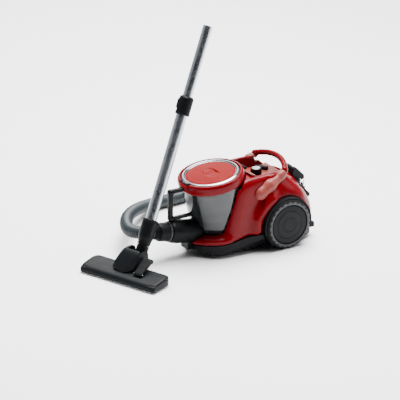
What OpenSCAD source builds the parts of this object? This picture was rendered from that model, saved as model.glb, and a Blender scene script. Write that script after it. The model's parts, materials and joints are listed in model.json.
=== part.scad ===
// Bagless canister vacuum cleaner with its telescopic wand, floor nozzle, hose and grip.
// The canister's nose points to -Y. Its rear wheels turn about X.

/* [Canister] */
// Radius of the rear wheels
wheel_r = 81; // [78:1:81]
// Width of a rear wheel's tyre
wheel_w = 40; // [34:1:40]
// Distance from the middle plane to a wheel's outer face
wheel_face_x = 140; // [138:1:142]
// Thickness of the moulded shells
wall = 4; // [3:0.5:5]
// Forward tilt of the dust bin
bin_tilt = 9; // [8:0.5:10]
// Outer radius of the bin's top
bin_top_r = 97; // [95:1:97]
// Outer radius of the bin's bottom
bin_foot_r = 80; // [76:1:80]
// Outer radius of the red rim round the lid
rim_r = 105; // [103:1:105]

/* [Carry handle] */
// Radius of the handle's bar
handle_bar_r = 9; // [8:0.5:10]
// Distance of the arch's crest from the line between its feet
handle_rise = 30; // [27:1:31]
// Backward lean of the arch
handle_lean = 60; // [55:1:62]

/* [Hose] */
// Outer radius of the ribbed hose
hose_r = 20.5; // [19:0.5:20.5]
// Upward pitch of the hose inlet
inlet_pitch = 10; // [6:1:12]

/* [Wand set] */
// Turn of the floor nozzle about the vertical
nozzle_yaw = 20.9; // [15:0.1:25]
// Backward lean of the wand from the vertical
wand_lean = 28; // [25:0.5:31]
// Half of the nozzle's width
nozzle_half_w = 144; // [135:1:144]
// Outer radius of the lower tube
lower_tube_r = 17.5; // [17.5:0.1:17.6]
// Outer radius of the upper tube
upper_tube_r = 15; // [14.8:0.1:15]

/* [Hidden] */
$fn = 64;

// The origin is on the floor, under the middle of the object without its hose
middle = [-20, -259.4];

run_gap = 0.05;   // radial clearance of a running fit
seam = 0.2;       // gap between two fixed neighbours

red = [0.72, 0.02, 0.05];
pale_red = [0.86, 0.3, 0.3];
black = [0.09, 0.09, 0.1];
graphite = [0.2, 0.21, 0.22];
steel = [0.75, 0.77, 0.8];

module placed() translate([-middle[0], -middle[1], 0]) children();

// A ring about Z, from radius a to radius b and from height z0 to z1
module ring(a, b, z0, z1) translate([0, 0, z0]) difference() {
  cylinder(r = b, h = z1 - z0);
  translate([0, 0, -1]) cylinder(r = a, h = z1 - z0 + 2);
}

// A box from its low and high corners
module block(low, high) translate(low) cube(high - low);

// A (y, z) outline, extruded over the x range x0 to x1
module side_cut(points, x0, x1)
  translate([x0, 0, 0]) rotate([90, 0, 90]) linear_extrude(x1 - x0) polygon(points);

// ---------------------------------------------------------------- canister body

lid_at = [0, -204, 246];
bin_floor = -188;
bin_lip = -22;
nose_r = 112;
nose_y = -178;
half_w = 124;
well_x = 96;
arch_r = 86;
trim_t = 3.5;
trim_w = 36;
engine_y = -86;

module bin_frame() translate(lid_at) rotate([bin_tilt, 0, 0]) children();

module bin_recess() bin_frame() {
  translate([0, 0, bin_floor - 1.5])
    cylinder(r1 = bin_foot_r + 1.5, r2 = bin_top_r + 1.5, h = bin_lip - bin_floor + 1.5);
  translate([0, 0, bin_lip - 15]) cylinder(r = rim_r + 1.5, h = 120);
}

module both_sides() for (s = [0, 1]) mirror([s, 0, 0]) children();

// Plan outline of the canister
module plan_2d(inset) {
  translate([0, nose_y]) circle(r = nose_r - inset, $fn = 128);
  half = [[nose_r - 2, nose_y], [119, -90], [half_w, 0], [118, 70], [94, 112], [60, 130]];
  polygon(concat(
    [for (p = half) [p[0] - inset, p[1] - (p[1] > 100 ? inset : 0)]],
    [for (i = [len(half) - 1:-1:0]) [inset - half[i][0], half[i][1] - (half[i][1] > 100 ? inset : 0)]]
  ));
}

// Cross-section of the canister
module section_2d(inset) {
  half = [[100, 10], [118, 40], [half_w, 80], [122, 150], [110, 200], [96, 236], [84, 247]];
  polygon(concat(
    [for (p = half) [p[0] - inset, p[1] - (p[1] > 240 ? inset : 0)]],
    [for (i = [len(half) - 1:-1:0]) [inset - half[i][0], half[i][1] - (half[i][1] > 240 ? inset : 0)]]
  ));
}

module envelope(inset) intersection() {
  linear_extrude(260) plan_2d(inset);
  translate([0, 140, 0]) rotate([90, 0, 0]) linear_extrude(440) section_2d(inset);
}

// The seam between the red shell and the black chassis, from the nose to the tail
seam_line = [[-292, 32], [-266, 40], [-200, 46], [-134, 57], [-88, 58], [88, 44], [127, 44]];
shell_back = [[130, 80], [127, 136], [112, 170], [88, 203], [50, 216], [20, 240], [-20, 246],
              [-128, 244], [-169, 218], [-208, 74], [-240, 71], [-262, 67], [-291, 52]];
deck_top = [[-104, 250], [-84, 243], [-60, 222], [-36, 208], [0, 203], [30, 204], [48, 210]];
deck_half_w = 76;
deck_t = 3.5;

module wheel_wells(x, r) for (s = [1, -1])
  translate([s * x, 0, wheel_r]) rotate([0, s * 90, 0]) cylinder(r = r, h = 60);

module shell_hollow() difference() {
  intersection() {
    envelope(wall);
    side_cut(concat([for (p = seam_line) [p[0], p[1] - 8]],
      [[126, 80], [123, 134], [108, 167], [85, 192], [engine_y, 192]]), -130, 130);
    block([-130, engine_y, 0], [130, 140, 200]);
  }
  wheel_wells(well_x - wall, arch_r + wall);
  tail_cut(-wall);
}

module deck_room() side_cut(concat(
  [[-104, 246], [-92, 240], [-82, 180], [44, 180], [48, 206]],
  [[48, 300], [-104, 300]]), -deck_half_w, deck_half_w);

// The slanted face of the flank beside the bin: a point on it, its turn and its lean
flank_at = [92, -196, 139];
flank_turn = -32;
flank_lean = 10;
flank_ledge_z = 67;
// The slanted corner over the tail
tail_at = [100, 38, 206];
tail_turn = 63;
tail_lean = 39.6;

// Everything beyond a plane through the point that faces along turn and lean
module beyond(point, turn, lean, gap = 0)
  translate(point) rotate([0, 0, turn]) rotate([0, -lean, 0])
    translate([gap, -200, -200]) cube([200, 400, 400]);

module tail_cut(gap = 0) both_sides() beyond(tail_at, tail_turn, tail_lean, gap);

module flank_cut() both_sides() intersection() {
  beyond(flank_at, flank_turn, flank_lean);
  block([0, -400, flank_ledge_z], [200, 0, 300]);
}

module shell_solid() difference() {
  intersection() {
    envelope(0);
    side_cut(concat(seam_line, shell_back), -130, 130);
  }
  flank_cut();
  tail_cut();
}

module body_shell() color(red) placed() difference() {
  shell_solid();
  shell_hollow();
  bin_recess();
  deck_room();
  wheel_wells(well_x, arch_r + 0.3);
  translate([-130, 0, wheel_r]) rotate([0, 90, 0]) cylinder(r = 12, h = 260);
  inlet_room();
  caster_room(34, 41);
  park_outline(26.2, 0.3);
  block([plug_x - 20, 82, plug_foot - 8], [plug_x + 20, 140, 240]);
  block([-45, 118, 64], [45, 140, 124]);
  both_sides() handle_foot(0.3);
  release_place() translate([0, 0, -2.5]) cube([31, 13.4, 14], center = true);
}

module chassis() color(black) placed() difference() {
  union() {
    intersection() {
      envelope(wall);
      side_cut(concat([[124, 30], [112, 14], [-250, 14], [-284, 24]], seam_line), -130, 130);
    }
    both_sides() block([60, 104, 28], [84, 130, 43.5]);
    both_sides() block([84, -22, 20], [91.5, 22, 104]);
    translate([0, caster_y, 14]) cylinder(r = 33.7, h = 26.8);
  }
  difference() {
    intersection() {
      envelope(2 * wall);
      union() {
        block([-84, engine_y, 17], [84, 116, 90]);
        translate([0, nose_y, 17]) cylinder(r = nose_r - 18, h = 60);
      }
    }
    wheel_wells(84, arch_r + 2 * wall);
    translate([0, caster_y, 0]) cylinder(r = 38, h = 60);
  }
  wheel_wells(well_x - wall, arch_r);
  both_sides() translate([80, 0, wheel_r]) rotate([0, 90, 0]) cylinder(r = axle_r, h = 20);
  caster_room(30, 34);
  translate([0, caster_y, 0]) cylinder(r = caster_pin_r + run_gap, h = 60);
  inlet_room();
}

module top_deck() color(pale_red) placed() difference() {
  union() {
    side_cut(concat(deck_top,
      [for (i = [len(deck_top) - 1:-1:0]) [deck_top[i][0], deck_top[i][1] - deck_t]]),
      -deck_half_w + seam, deck_half_w - seam);
    translate([0, knob_y, knob_z - 9]) cylinder(r = 21, h = 8);
  }
  bin_recess();
  translate([0, knob_y, knob_z - 1]) cylinder(r = 19.5, h = 60);
  translate([0, knob_y, knob_z - 40]) cylinder(r = 3 + run_gap, h = 60);
  release_place() cube([31, 13.4, 60], center = true);
  rewind_sector(61, 77, 115, 151, 180, 260);
}

// ---------------------------------------------------------------- handle and trims

handle_half = 86;
handle_y = 14;
handle_foot_z = 245;

module handle_foot(gap) translate([handle_half, handle_y, handle_foot_z])
  rotate_extrude() polygon([[0, -14 - gap], [10 + gap, -14 - gap], [10 + gap, 0],
    [9 + gap, 4.5 + gap], [7 + gap, 7 + gap], [4, 9 + gap], [0, 10 + gap]]);

module carry_handle() color(red) placed() {
  arch_rad = (handle_half * handle_half + handle_rise * handle_rise) / (2 * handle_rise);
  spread = asin(handle_half / arch_rad);
  translate([0, handle_y, handle_foot_z]) rotate([90 - handle_lean, 0, 0])
    translate([0, handle_rise - arch_rad, 0]) rotate([0, 0, 90 - spread]) rotate_extrude(angle = 2 * spread, $fn = 96)
      translate([arch_rad, 0]) circle(r = handle_bar_r, $fn = 32);
  both_sides() handle_foot(0);
}

module handle_ends() color(pale_red) placed() both_sides() difference() {
  hull() {
    translate([88, 2, 228]) sphere(r = 13, $fn = 20);
    translate([97, -50, 209]) sphere(r = 19, $fn = 20);
    translate([99, -84, 190]) sphere(r = 21, $fn = 20);
  }
  shell_solid();
  handle_foot(0.3);
}

module arch_trims() color(black) placed() for (s = [1, -1])
  translate([s * (well_x + 1), 0, wheel_r]) rotate([0, s * 90, 0])
    rotate([0, 0, s > 0 ? 75 : -105]) rotate_extrude(angle = 210, $fn = 128)
      translate([arch_r - trim_t, 0]) square([trim_t, trim_w]);

// ---------------------------------------------------------------- rear wheels

axle_r = 6;

module wheel_frame(s) placed() translate([s * (wheel_face_x - wheel_w), 0, wheel_r])
  rotate([0, s * 90, 0]) children();

module tyre() difference() {
  rotate_extrude($fn = 128) polygon([
    [64, 2], [wheel_r - 2, 2], [wheel_r, 5], [wheel_r, wheel_w - 10],
    [wheel_r - 2, wheel_w - 4], [wheel_r - 8, wheel_w], [66, wheel_w], [64, wheel_w - 2]]);
  for (i = [0:23]) rotate([0, 0, i * 15]) translate([70, -2.5, wheel_w - 2]) cube([7, 5, 6]);
}

module wheel() {
  rotate_extrude($fn = 128) polygon([
    [axle_r + run_gap, 2], [11, 2], [11, 12], [60, 12], [60, 4], [63.8, 4],
    [63.8, wheel_w - 4], [61, wheel_w - 1], [46, wheel_w], [45, wheel_w - 1], [44, wheel_w + 0.4],
    [24, wheel_w + 1], [23, wheel_w], [22, wheel_w + 1], [9, wheel_w + 1.2], [0, wheel_w + 1.2],
    [0, wheel_w - 3], [axle_r + run_gap, wheel_w - 3]]);
}

module rear_tyre_right() color(black) wheel_frame(1) tyre();
module rear_wheel_right() color(graphite) wheel_frame(1) wheel();
module rear_tyre_left() color(black) wheel_frame(-1) tyre();
module rear_wheel_left() color(graphite) wheel_frame(-1) wheel();

module rear_axles() color(steel) placed() both_sides()
  translate([82, 0, wheel_r]) rotate([0, 90, 0]) cylinder(r = axle_r, h = 50);

// ---------------------------------------------------------------- front caster

caster_y = -225;
caster_pin_r = 5;
caster_wheel_r = 14;
trail = 10;

module caster_room(r, top) translate([0, caster_y, -1]) cylinder(r = r, h = top + 1);

module caster_fork() color(graphite) placed() translate([0, caster_y, 0]) {
  translate([0, 0, 29]) cylinder(r = caster_pin_r, h = 11.5);
  translate([0, 0, 29]) cylinder(r = 15, h = 4);
  both_sides() block([8, trail - 8, 8], [11, trail + 8, 30]);
  translate([-11, trail, caster_wheel_r]) rotate([0, 90, 0]) cylinder(r = 2.5, h = 22);
}

module caster_wheel() color(black) placed()
  translate([0, caster_y + trail, caster_wheel_r]) rotate([0, 90, 0])
    rotate_extrude() polygon([
      [2.5 + run_gap, -6], [caster_wheel_r - 2, -6], [caster_wheel_r, -4],
      [caster_wheel_r, 4], [caster_wheel_r - 2, 6], [2.5 + run_gap, 6]]);

// ---------------------------------------------------------------- hose inlet and cuff

inlet_at = [0, -316, 80];
inlet_bore_r = 24;
inlet_web = 20;
cuff_start = 43;
cuff_end = 84;
sleeve_end = 101;

module inlet_frame() translate(inlet_at) rotate([90 - inlet_pitch, 0, 0]) children();

module inlet_room() {
  inlet_frame() translate([0, 0, -70]) cylinder(r = 38.2, h = 140);
  block([-inlet_web - seam, -302, 19.5], [inlet_web + seam, -262, 80]);
}

module inlet_housing() color(black) placed() difference() {
  union() {
    inlet_frame() rotate_extrude() polygon([
      [0, -66], [37.5, -66], [37.5, 16], [35.5, 34], [33.5, 41], [32, 42], [0, 42]]);
    block([-inlet_web, -300, 20], [inlet_web, -264, 78]);
  }
  bin_recess();
  inlet_frame() translate([0, 0, -80]) cylinder(r = inlet_bore_r, h = 140);
  translate([0, caster_y, 0]) cylinder(r = 40, h = 60);
}

module hose_cuff() color(black) placed() inlet_frame() rotate_extrude() polygon([
  [19, 4], [inlet_bore_r - run_gap, 4], [inlet_bore_r - run_gap, cuff_start - 0.5],
  [31, cuff_start - 0.5], [31, cuff_start + 2], [29, cuff_start + 2], [29, cuff_start + 7],
  [30, cuff_start + 8], [29, cuff_end - 4], [27, cuff_end], [19, cuff_end]]);

module cuff_ring() color([0.6, 0.61, 0.63]) placed() inlet_frame()
  ring(29, 31.5, cuff_start + 2 + seam, cuff_start + 6);

module hose_sleeve() color(black) placed() inlet_frame() rotate_extrude() polygon(concat(
  [[hose_r + 0.8, cuff_end + 0.5], [24, cuff_end + 0.5]],
  [for (i = [0:2]) each [[24 - i * 0.4, cuff_end + 3 + i * 5], [21.6, cuff_end + 4.2 + i * 5],
    [23.6 - i * 0.4, cuff_end + 5.4 + i * 5]]],
  [[hose_r + 0.8, sleeve_end]]));

// ---------------------------------------------------------------- hose

// Centre line of the hose from the cuff to its coil
cuff_mouth = inlet_at + (cuff_end + 0.5) * [0, -cos(inlet_pitch), sin(inlet_pitch)];
hose_points = [
  cuff_mouth, [0, -416, 97.6], [-7, -432, 98], [-25, -448, 96], [-53, -454, 91], [-93, -447, 85],
  [-147, -422, 78], [-203, -384, 70], [-256, -335, 59], [-305, -278, 44], [-345, -222, 28],
  [-361, -175, 22], [-364, -134, 21], [-366, -92, 21], [-370, -42, 21], [-374, 8, 21],
  [-375.4, 60, 21]
];
coil_at = [-295, 95, 0];
coil_in = 80;
coil_out = 122;
// The last stretch of the coil lies on its turns, at this radius and height
coil_top_r = 106;
coil_top_z = 61;

function unit(v) = v / norm(v);
function heading(path, i) = unit(path[min(i + 1, len(path) - 1)] - path[max(i - 1, 0)]);

// A tube of radius r swept along the path, with n sides
module swept_tube(path, r, n) {
  rings = [for (i = [0:len(path) - 1])
    let (t = heading(path, i), a = unit(cross([0, 0, 1], t)), b = cross(t, a))
    for (k = [0:n - 1]) path[i] + r * (a * cos(360 * k / n) + b * sin(360 * k / n))];
  last = len(path) - 1;
  polyhedron(rings, concat(
    [[for (k = [0:n - 1]) n - 1 - k]],
    [for (i = [0:last - 1], k = [0:n - 1])
      let (k2 = (k + 1) % n) [i * n + k, i * n + k2, (i + 1) * n + k2, (i + 1) * n + k]],
    [[for (k = [0:n - 1]) last * n + k]]));
}

module hose_run() color([0.5, 0.53, 0.56]) placed() swept_tube(hose_points, hose_r, 12);

module hose_coil() color([0.5, 0.53, 0.56]) placed() {
  translate(coil_at) difference() {
    cylinder(r = coil_out + hose_r, h = 2 * hose_r, $fn = 96);
    translate([0, 0, -1]) cylinder(r = coil_in - hose_r, h = 60, $fn = 96);
  }
  translate([coil_at[0], coil_at[1], coil_top_z]) rotate_extrude(angle = 50, $fn = 96)
    translate([coil_top_r, 0]) circle(r = hose_r);
}

// ---------------------------------------------------------------- grip

grip_start = [coil_at[0] + coil_top_r, coil_at[1], 65];
grip_bend_r = 90;
grip_bend = 30;

module grip_frame() translate(grip_start) rotate([90, 0, 0]) children();

// Frame at the grip's second straight stretch
module grip_far_frame() grip_frame() translate([-grip_bend_r, 0, 30])
  rotate([0, -grip_bend, 0]) translate([grip_bend_r, 0, 0]) children();

module grip_body() color(black) placed() difference() {
  union() {
    grip_frame() cylinder(r = 23.5, h = 30);
    grip_frame() translate([-grip_bend_r, 0, 30]) rotate([90, 0, 0])
      rotate_extrude(angle = grip_bend, $fn = 96) translate([grip_bend_r, 0]) circle(r = 19);
    grip_far_frame() cylinder(r = 19, h = 55);
    grip_far_frame() cylinder(r = 13.7, h = 95);
  }
  grip_frame() translate([0, 0, -1]) cylinder(r = 18, h = 24);
  grip_far_frame() translate([0, 0, 20]) cylinder(r = 11.5, h = 100);
  grip_far_frame() block([-7, 13, 8], [7, 30, 42]);
}

module grip_slider() color(graphite) placed() grip_far_frame()
  block([-6.6, 13.4, 9], [6.6, 19.6, 26]);

// ---------------------------------------------------------------- controls on the deck

knob_y = -36;
knob_z = 209;

module power_knob() color(black) placed() translate([0, knob_y, 0]) {
  rotate_extrude() polygon([[0, 196], [3, 196], [3, knob_z], [17, knob_z], [18, knob_z + 3],
    [16.5, knob_z + 17], [14, knob_z + 19], [13, knob_z + 22], [0, knob_z + 23]]);
}

module release_place() translate([0, -86, 246]) rotate([-25, 0, 0]) children();

module release_button() color(graphite) placed() release_place() cube([30, 12.4, 10], center = true);

module rewind_sector(a, b, from, to, z0, z1) translate([0, knob_y, z0])
  rotate([0, 0, from]) rotate_extrude(angle = to - from, $fn = 96) translate([a, 0]) square([b - a, z1 - z0]);

module rewind_button() color(graphite) placed() rewind_sector(61.6, 76.4, 116, 150, 197, 214);

module control_board() color([0.1, 0.35, 0.2]) placed() {
  block([-42, -70, 184], [42, 0, 186]);
  translate([0, knob_y, 186]) cylinder(r = 8, h = 9);
  block([18, -62, 186], [34, -44, 194]);
}

// ---------------------------------------------------------------- tail

plug_x = 45;
plug_y = 106;
plug_foot = 134;

module park_outline(half, gap) side_cut([[82 - gap, 196], [88 - gap, 214 + gap], [100, 213 + gap],
  [130 + gap, 182], [130 + gap, 170], [110, 166 - gap], [92, 176 - gap]], -half, half);

module park_bracket() color(black) placed() difference() {
  park_outline(26, 0);
  block([-7, 96, 150], [7, 140, 230]);
}

module plug_bay() color(black) placed() difference() {
  block([plug_x - 19.8, 82.5, plug_foot - 7.8], [plug_x + 19.8, 124, plug_foot + 42]);
  block([plug_x - 17.5, 92, plug_foot - 4], [plug_x + 17.5, 130, 200]);
  translate([plug_x, plug_y, 0]) cylinder(r = 3.8, h = 200);
  park_outline(26.2, 0.3);
  tail_cut(1.5);
  side_cut([[90, 212], [114, 171], [127, 144], [150, 144], [150, 230]], 0, 100);
}

module plug_body() color(black) placed() translate([plug_x, plug_y, 0]) {
  difference() {
    union() {
      block([-16, -7, plug_foot], [16, 7, plug_foot + 16]);
      block([-13, -6, plug_foot + 16], [13, 6, plug_foot + 26]);
      translate([0, 0, plug_foot - 80]) cylinder(r = 3.5, h = 82);
    }
    plug_pin_pair(2, plug_foot + 14, plug_foot + 30);
  }
}

module plug_pin_pair(r, z0, z1) for (s = [1, -1]) translate([s * 9.5, 0, z0]) cylinder(r = r, h = z1 - z0);

module plug_pins() color(steel) placed() translate([plug_x, plug_y, 0]) {
  plug_pin_pair(2, plug_foot + 14, plug_foot + 28);
  plug_pin_pair(2.4, plug_foot + 26.4, plug_foot + 45);
}

module exhaust_grille() color(black) placed() difference() {
  block([-44.6, 121, 64.4], [44.6, 126.5, 123.6]);
  for (i = [0:6]) block([-38, 110, 70 + i * 7.4], [38, 140, 74 + i * 7.4]);
}

module exhaust_filter() color([0.85, 0.85, 0.82]) placed() {
  block([-32, 94, 62], [26, 116, 124]);
}

// ---------------------------------------------------------------- motor and fan

module motor_frame() placed() translate([32, -78, 108]) rotate([-90, 0, 0]) children();

module motor_housing() color(graphite) motor_frame() difference() {
  cylinder(r = 50, h = 98);
  translate([0, 0, 3]) cylinder(r = 46.5, h = 92);
  translate([0, 0, -1]) cylinder(r = 20, h = 10);
  for (i = [0:7]) rotate([0, 0, i * 45]) translate([32, 0, 90]) cylinder(r = 7, h = 20);
}

module motor_stator() color([0.6, 0.35, 0.2]) motor_frame() ring(29, 46.3, 34, 78);

module motor_bearings() color(steel) motor_frame() {
  ring(4 + run_gap, 46.3, 26, 29);
  ring(4 + run_gap, 46.3, 88, 92);
}

module rotor_shaft() color(steel) motor_frame() rotate_extrude() polygon([
  [0, 5], [4, 5], [4, 35], [26, 35], [26, 77], [12, 77], [12, 84], [4, 84], [4, 94], [0, 94]]);

module fan_impeller() color(black) motor_frame() difference() {
  union() {
    translate([0, 0, 20]) cylinder(r = 42, h = 2);
    translate([0, 0, 6]) cylinder(r = 9, h = 15);
    for (i = [0:7]) rotate([0, 0, i * 45]) translate([8, 2, 8]) rotate([0, 0, 20]) cube([32, 1.6, 13]);
  }
  translate([0, 0, -1]) cylinder(r = 4, h = 30);
}

// ---------------------------------------------------------------- cord reel

reel_x = -80;
reel_w = 44;
reel_r = 58;

module reel_frame() placed() translate([reel_x, 40, 118]) rotate([0, 90, 0]) children();

module reel_drum() color(graphite) reel_frame() rotate_extrude() polygon([
  [axle_r + run_gap, 0], [reel_r, 0], [reel_r, 2], [30, 2], [30, reel_w - 2], [reel_r, reel_w - 2],
  [reel_r, reel_w], [axle_r + run_gap, reel_w]]);

module wound_cord() color(black) reel_frame() ring(30, 54, 2 + seam, reel_w - 2 - seam);

module reel_bracket() color(graphite) {
  reel_frame() cylinder(r = axle_r, h = reel_w + 4);
  reel_frame() translate([0, 0, reel_w + 1]) cylinder(r = 16, h = 4);
  placed() block([reel_x + reel_w + 1, 32, 17], [reel_x + reel_w + 5, 48, 118]);
}

// ---------------------------------------------------------------- dust bin

module bin_cup() color([0.6, 0.62, 0.64, 0.4]) placed() difference() {
  bin_frame() rotate_extrude($fn = 128) polygon([
    [0, bin_floor], [bin_foot_r, bin_floor], [bin_top_r, bin_lip],
    [bin_top_r - 2.5, bin_lip], [bin_foot_r - 2.5, bin_floor + 3], [0, bin_floor + 3]]);
  inlet_frame() translate([0, 0, -75]) cylinder(r = 22, h = 30);
}

rim_foot = -27;

module bin_rim() color(red) placed() bin_frame() difference() {
  rotate_extrude($fn = 128) polygon([
    [bin_top_r + 0.5, rim_foot], [103, rim_foot + 2.5], [rim_r, -20], [rim_r, -2], [101, 5], [95, 6.5],
    [94, 5], [94, -12], [90, -12], [90, -16], [93, bin_lip + seam], [bin_top_r + 0.5, bin_lip + seam]]);
  block([-23, -101, 1], [23, -90, 12]);
}

hinge_y = -93.5;
hinge_z = 6;

module bin_handle() color(black) placed() {
  difference() {
    union() {
      block([-8, -352, 123], [8, -262, 133]);
      block([-8, -358, 129.5], [8, -343, 214]);
      translate([-8, -351.5, 129.5]) rotate([0, 90, 0]) cylinder(r = 6.5, h = 16);
      translate([-8, -346, 212]) rotate([0, 90, 0]) cylinder(r = 12, h = 16);
      block([-8, -346, 210], [8, -290, 224]);
    }
    bin_frame() translate([0, 0, bin_floor]) cylinder(r1 = bin_foot_r, r2 = bin_top_r,
      h = bin_lip - bin_floor, $fn = 128);
    bin_frame() translate([0, 0, rim_foot - seam]) cylinder(r = rim_r, h = 80, $fn = 128);
  }
  bin_frame() translate([-22, hinge_y, hinge_z]) rotate([0, 90, 0]) cylinder(r = 1.5, h = 44);
  bin_frame() both_sides() translate([14, hinge_y, hinge_z]) rotate([0, 90, 0]) cylinder(r = 3, h = 8);
}

module cyclone_body() color(graphite) placed() bin_frame() {
  rotate_extrude($fn = 96) polygon([
    [30, -38], [92.4, -38], [92.4, -35.2], [26, -35.2], [26, -41], [30, -41]]);
  rotate_extrude($fn = 96) polygon([
    [55, -38.1], [58, -38.1], [58, -118], [70, -134], [69, -136], [54, -121], [55, -118]]);
  rotate_extrude($fn = 96) polygon([
    [26, -41.1], [30, -41.1], [52, -70], [30, -150], [28, -150], [49, -70]]);
}

module cyclone_mesh() color([0.5, 0.52, 0.54]) placed() bin_frame() ring(58, 59.6, -114, -46);

module pre_filter() color([0.92, 0.92, 0.9]) placed() bin_frame()
  translate([0, 0, -35]) cylinder(r = 88, h = 20, $fn = 96);

module lid_ring() color(steel) placed() bin_frame() difference() {
  union() {
    rotate_extrude($fn = 128) polygon([
      [78, -4], [78, 4], [80, 6], [84, 7.5], [89, 6.5], [93, 3], [93, -11.5], [88, -11.5], [88, -4]]);
    translate([-13.5, hinge_y, hinge_z]) rotate([0, 90, 0]) cylinder(r = 3, h = 27);
  }
  translate([-30, hinge_y, hinge_z]) rotate([0, 90, 0]) cylinder(r = 1.5 + run_gap, h = 60);
  both_sides() block([13.5, -101, hinge_z - 4.5], [23, -87, 12]);
}

module lid_window() color([0.8, 0.25, 0.25]) placed() bin_frame() difference() {
  rotate_extrude($fn = 128) polygon([[0, 0], [78, 0], [78, 3.5], [70, 5], [0, 6.5]]);
  for (s = [1, -1]) translate([s * 14, 0, 2]) cylinder(r = 21, h = 10);
  block([-14, -21, 2], [14, 21, 12]);
}

// ---------------------------------------------------------------- floor nozzle

nozzle_at = [88, -599.5, 0];
pivot_x = 14;
pivot_y = 95;
pivot_z = 45;
pedal_pivot = [36, 35];

module nozzle_frame() placed() translate(nozzle_at) rotate([0, 0, nozzle_yaw]) children();

module nozzle_plan(inset, z0, z1) {
  w = nozzle_half_w - inset;
  translate([0, 0, z0]) linear_extrude(z1 - z0) polygon([
    [-w + 6, inset], [w - 6, inset], [w, 6 + inset], [w, 72], [w - 7, 88 - inset], [w - 24, 100 - inset],
    [24 - w, 100 - inset], [7 - w, 88 - inset], [-w, 72], [-w, 6 + inset]]);
}

module nozzle_body() color(graphite) nozzle_frame() difference() {
  intersection() {
    nozzle_plan(0, 0, 60);
    side_cut([[0, 3], [0, 13], [9, 24], [24, 28], [60, 34], [88, 34], [100, 19], [100, 3]],
      -150, 150);
  }
  block([-132, 12, 0], [132, 58, 21]);
  block([-130, 63, 0], [130, 71, 22]);
  both_sides() block([60, 78, 0], [80, 99, 19]);
  block([-100, 73, 0], [-34, 77, 24]);
  block([34, 73, 0], [100, 77, 24]);
  block([pivot_x - 24, 60, 24], [pivot_x + 24, 120, 80]);
  block([pivot_x - 20, 50, 10], [pivot_x + 20, 62, 30]);
  block([43, 26, 27], [77, 46, 60]);
}

module nozzle_hood() color(graphite) nozzle_frame() difference() {
  intersection() {
    side_cut([[24, 28.2], [60, 34.2], [114, 34.2], [116, 72], [108, 90], [90, 95], [72, 94],
      [56, 80], [36, 48]], -60, 60);
    linear_extrude(120) polygon([[-4, 20], [10, 20], [43.5, 52], [43.5, 118], [-30, 118], [-48, 76],
      [-46, 36]]);
    translate([0, 130, 0]) rotate([90, 0, 0]) linear_extrude(120)
      polygon([[-52, 26], [44, 26], [43.5, 70], [40, 96], [-22, 96]]);
  }
  block([pivot_x - 24, 73, 0], [pivot_x + 24, 130, 120]);
  hood_pin_cut();
}

module hood_pin_cut() translate([-60, pivot_y, pivot_z]) rotate([0, 90, 0]) cylinder(r = 5, h = 120);

module sole_plate() color(steel) nozzle_frame() difference() {
  nozzle_plan(5, 1, 2.9);
  block([-128, 14, 0], [128, 56, 5]);
  block([-131, 62, 0], [131, 72, 5]);
  both_sides() block([59, 77, 0], [81, 101, 5]);
}

module nozzle_pins() color(steel) nozzle_frame() {
  translate([pivot_x - 36, pivot_y, pivot_z]) rotate([0, 90, 0]) cylinder(r = 5, h = 64);
  translate([43, pedal_pivot[0], pedal_pivot[1]]) rotate([0, 90, 0]) cylinder(r = 2, h = 34);
  both_sides() translate([60, 89, 8]) rotate([0, 90, 0]) cylinder(r = 2, h = 20);
}

module nozzle_rollers() color(black) nozzle_frame() both_sides()
  translate([63, 89, 8]) rotate([0, 90, 0]) ring(2 + run_gap, 8, 0, 14);

module brush_strip() color(black) nozzle_frame() block([-128, 64.5, 0.6], [128, 69.5, 16]);

module pedal() color(graphite) nozzle_frame() difference() {
  side_cut([[32, 31.5], [30, 35], [33, 39], [80, 70], [88, 70], [93, 62], [90, 54], [82, 55],
    [44, 35], [39, 31.5]], 45, 75);
  translate([40, pedal_pivot[0], pedal_pivot[1]]) rotate([0, 90, 0]) cylinder(r = 2 + run_gap, h = 60);
}

// ---------------------------------------------------------------- neck and wand

neck_end = 134;
collar_start = 466;
collar_end = 525;
tube_joint_z = 494.5;
wand_top = 750;
upper_len = 440;
notch_turn = 217;

module wand_frame() nozzle_frame()
  translate([pivot_x, pivot_y, pivot_z]) rotate([-wand_lean, 0, 0]) children();

module neck_yoke() color(black) wand_frame() difference() {
  union() {
    translate([-21, 0, 0]) rotate([0, 90, 0]) cylinder(r = 18, h = 42);
    cylinder(r = 19, h = 52);
    translate([0, 0, 50]) cylinder(r = 14.95, h = 24);
  }
  translate([-30, 0, 0]) rotate([0, 90, 0]) cylinder(r = 5 + run_gap, h = 60);
  translate([0, 0, 16]) cylinder(r = 12.5, h = 80);
}

module neck_tube() color(black) wand_frame() rotate_extrude() polygon([
  [15, 52.5], [20, 52.5], [21, 66], [24.5, 76], [25, neck_end - 3], [23, neck_end], [lower_tube_r, neck_end],
  [lower_tube_r, 104], [15, 104]]);

module lower_tube() color(steel) wand_frame() ring(16.3, lower_tube_r, 104, tube_joint_z - 0.5);

module wand_collar() color(black) wand_frame() difference() {
  rotate_extrude() polygon([
    [lower_tube_r, collar_start], [21, collar_start], [22.5, collar_start + 4], [22.5, collar_end - 6],
    [19, collar_end], [upper_tube_r + run_gap, collar_end], [upper_tube_r + run_gap, tube_joint_z],
    [lower_tube_r, tube_joint_z]]);
  rotate([0, 0, notch_turn]) block([19.5, -6, collar_start + 10], [30, 6, collar_end - 12]);
}

module collar_slider() color(graphite) wand_frame() rotate([0, 0, notch_turn])
  block([19.8, -5.7, collar_start + 18], [25.5, 5.7, collar_end - 12.5]);

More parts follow.
